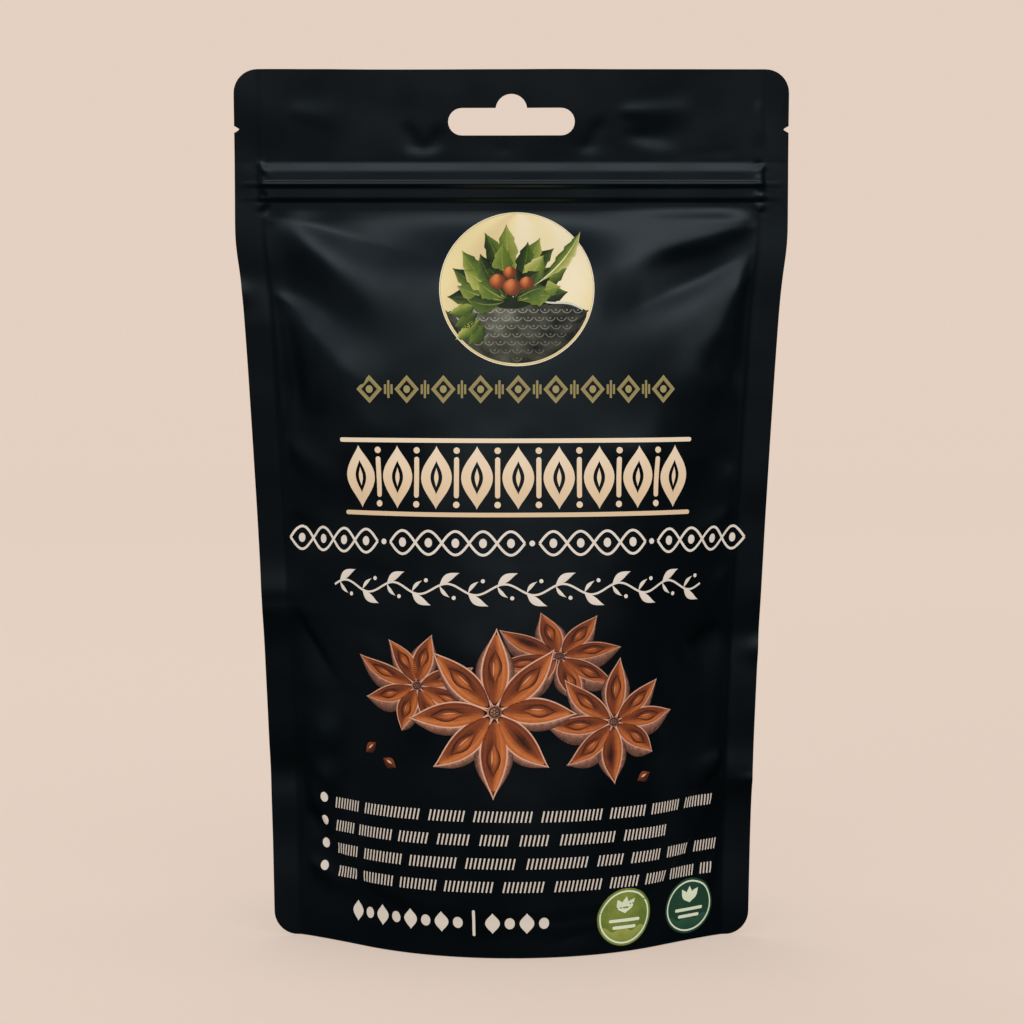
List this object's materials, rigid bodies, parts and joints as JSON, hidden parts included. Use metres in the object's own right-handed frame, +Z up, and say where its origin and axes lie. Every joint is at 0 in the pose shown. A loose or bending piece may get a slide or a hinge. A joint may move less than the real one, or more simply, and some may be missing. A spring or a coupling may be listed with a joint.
{
  "type": "stand-up spice pouch",
  "caption": "Shut black film stand-up pouch with a bottom gusset, side welds, press zipper, hanging slot and tear notches.",
  "frame": {"origin": "middle of the foot, on the surface that the pouch stands on", "axes": "+Z up along the pouch's height, +X to the right across its width seen from the front, and the printed front faces -Y"},
  "size_m": [0.14, 0.0616, 0.22],
  "materials": {
    "film": "matt laminated film",
    "cream_ink": "matt printed ink",
    "gold_ink": "matt printed ink",
    "brown_ink": "matt printed ink",
    "green_ink": "matt printed ink"
  },
  "bodies": {
    "root": {"pouch": "film"}
  },
  "joints": []
}
